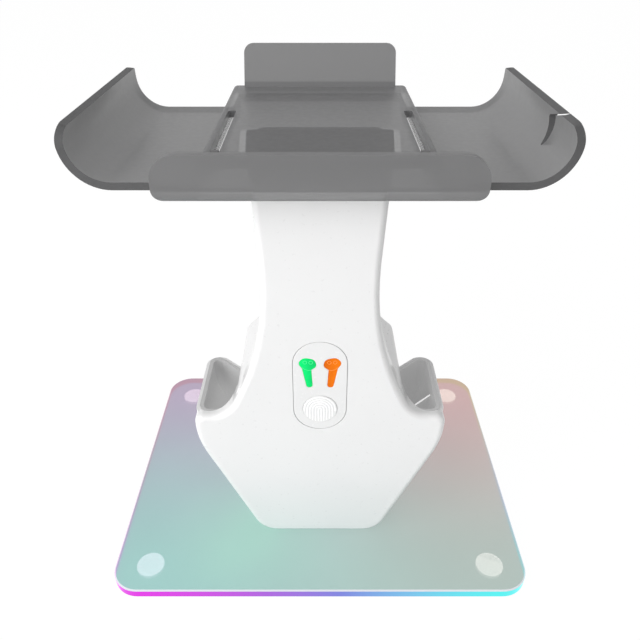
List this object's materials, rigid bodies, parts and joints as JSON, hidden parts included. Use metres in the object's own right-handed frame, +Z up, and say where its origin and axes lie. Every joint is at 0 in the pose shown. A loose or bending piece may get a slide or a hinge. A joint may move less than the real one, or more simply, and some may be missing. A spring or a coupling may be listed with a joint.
{
  "type": "vr headset charging dock",
  "caption": "Free-standing charging dock: a smoked cradle for a headset on a slim white column, controller pockets at its sides, and a clear lit base plate.",
  "frame": {"origin": "on the table, under the middle of the base plate", "axes": "+Z up, +X to the dock's right as seen from the front, front faces -Y"},
  "size_m": [0.225, 0.18, 0.2509],
  "materials": {
    "clear_acrylic": "clear acrylic, polished, lit from inside",
    "clear_rubber": "pale translucent rubber",
    "circuit_board": "green solder mask",
    "light_chip": "white chip package",
    "white_gloss": "glossy white moulding",
    "white_inner": "white moulding",
    "screw_steel": "zinc plated",
    "grey_liner": "satin light grey moulding",
    "black_plastic": "black moulding",
    "gold_contact": "gold plated",
    "white_panel": "glossy white",
    "green_light": "lit green",
    "orange_light": "lit orange",
    "white_touch": "glossy white with fine rings",
    "socket_metal": "bright socket metal",
    "smoked_clear": "smoked clear moulding, polished"
  },
  "bodies": {
    "root": {"base_cover": "white_inner", "base_plate": "clear_acrylic", "base_screws": "screw_steel", "cradle_mount": "black_plastic", "front_left_foot": "clear_rubber", "front_panel": "white_panel", "front_right_foot": "clear_rubber", "front_shell": "white_gloss", "headset_cradle": "smoked_clear", "headset_outlet": "socket_metal", "left_contact_block": "black_plastic", "left_contact_board": "circuit_board", "left_contact_pins": "gold_contact", "left_indicator": "green_light", "left_pocket_liner": "grey_liner", "light_board": "circuit_board", "main_board": "circuit_board", "main_board_screws": "screw_steel", "mount_screws": "screw_steel", "outlet_board": "circuit_board", "plate_lights": "light_chip", "power_board": "circuit_board", "power_inlet": "socket_metal", "rear_left_foot": "clear_rubber", "rear_right_foot": "clear_rubber", "rear_shell": "white_gloss", "right_contact_block": "black_plastic", "right_contact_board": "circuit_board", "right_contact_pins": "gold_contact", "right_indicator": "orange_light", "right_pocket_liner": "grey_liner", "shell_screws": "screw_steel", "touch_board": "circuit_board", "touch_disc": "white_touch"}
  },
  "joints": []
}
